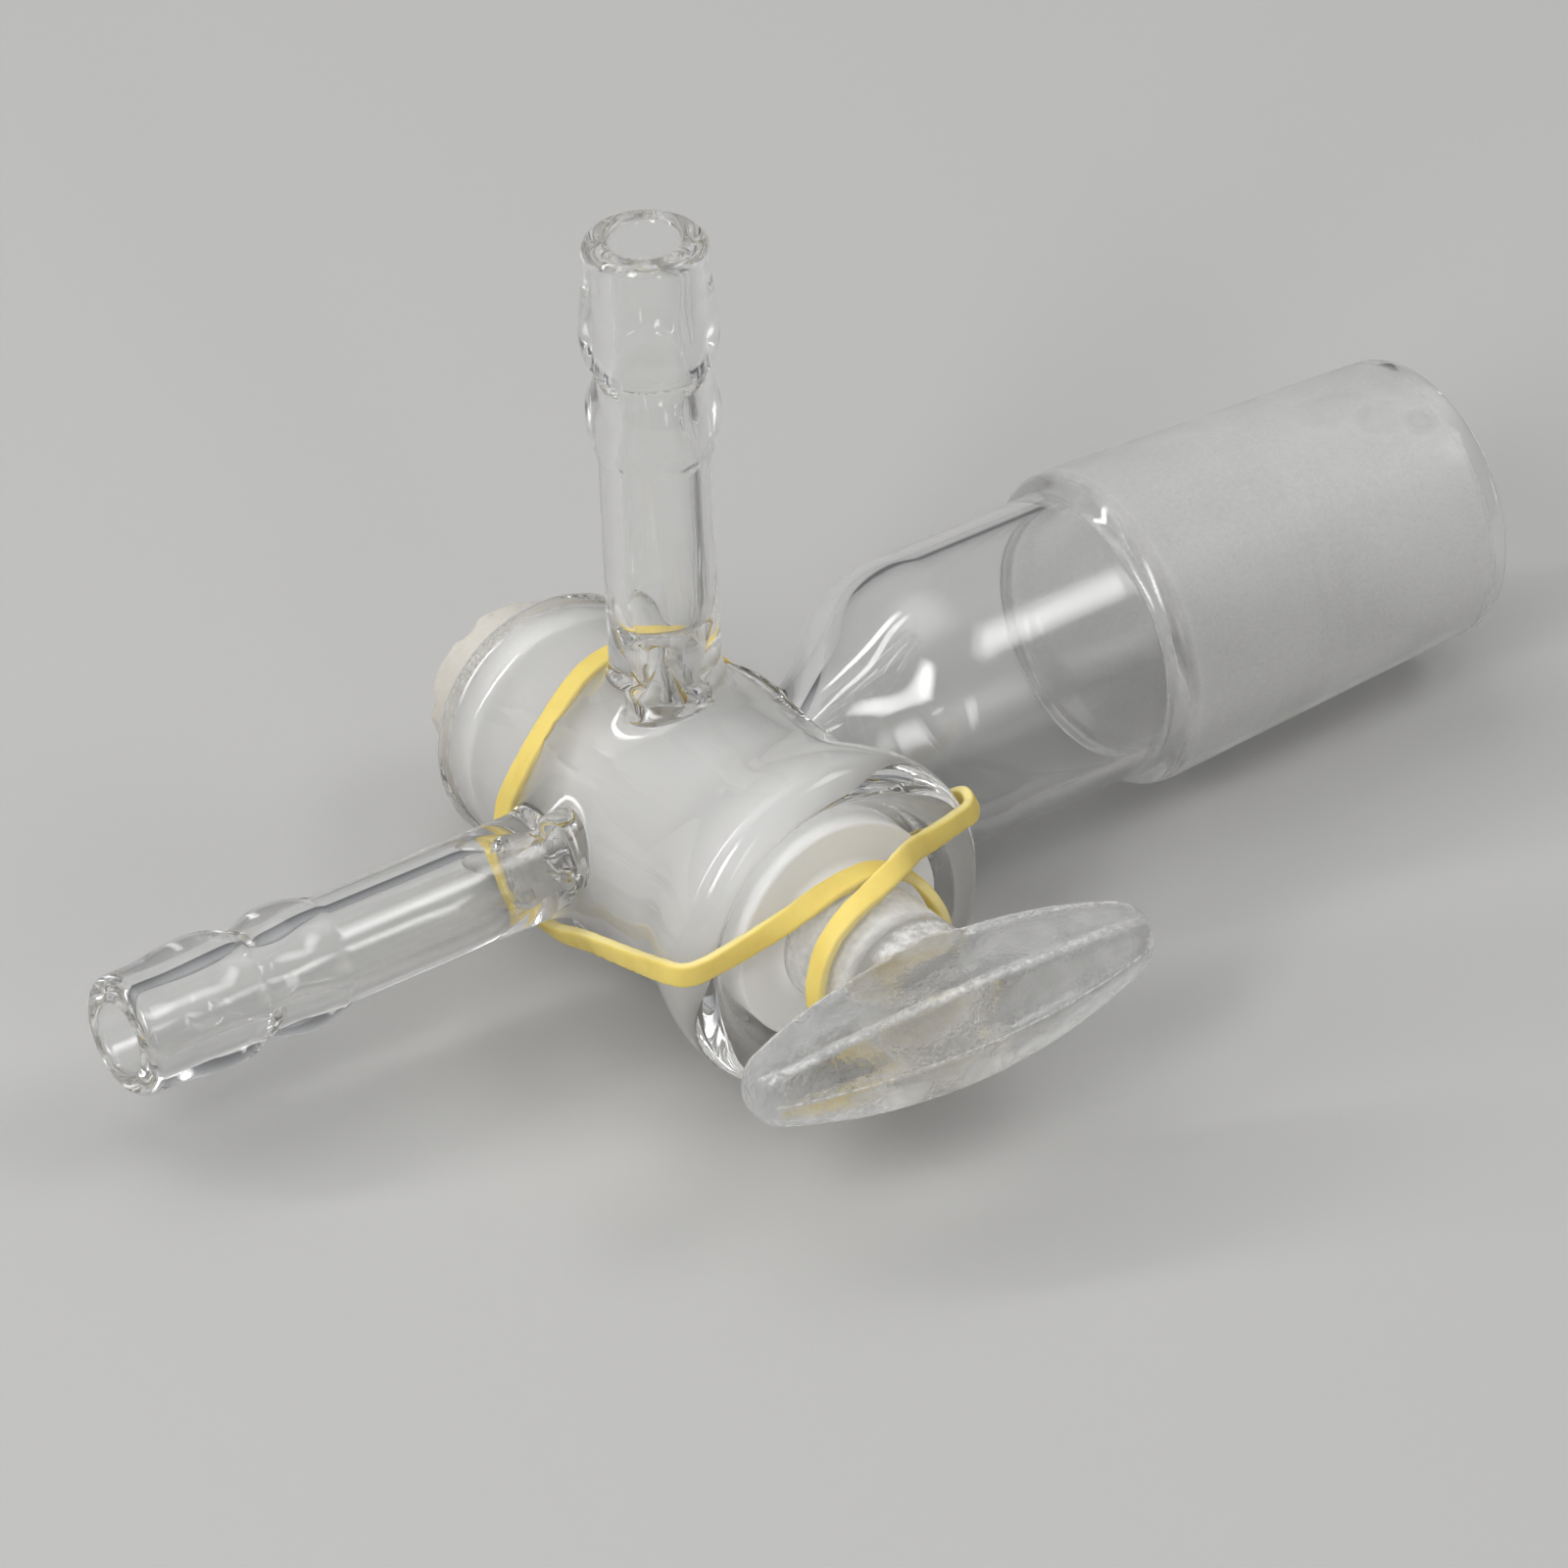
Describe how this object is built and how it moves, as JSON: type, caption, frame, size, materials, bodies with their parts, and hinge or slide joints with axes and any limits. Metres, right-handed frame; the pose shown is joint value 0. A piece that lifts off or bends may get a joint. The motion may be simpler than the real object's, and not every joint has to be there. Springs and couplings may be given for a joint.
{
  "type": "glass stopcock",
  "caption": "Ground-glass stopcock with a T-handled tapered plug, barbed hose connectors at a right angle and a tapered ground cone, its plug held in by a rubber band.",
  "frame": {"origin": "centre of the large end of the ground zone on the cone, on the cone's axis", "axes": "+X out along the cone, -X out along the side hose connector, +Z out along the upright hose connector, -Y out along the plug's axis to its handle. The axes of the arms and the plug meet at x = -37.8 mm"},
  "size_m": [0.1146, 0.0594, 0.0597],
  "materials": {
    "body_glass": "clear borosilicate glass, ground matt on the cone and in the barrel's bore",
    "plug_glass": "clear pressed glass in the handle and stem, ground matt on the key",
    "band_rubber": "matt pale yellow elastic, a little see-through"
  },
  "bodies": {
    "glass": {"glass_body": "body_glass", "rubber_band": "band_rubber"},
    "plug": {"plug": "plug_glass"}
  },
  "joints": [
    {"name": "plug_turn", "type": "hinge", "parent": "glass", "child": "plug", "pos_m": [-0.0378, 0, 0], "axis": [0, -1, 0], "continuous": true}
  ]
}
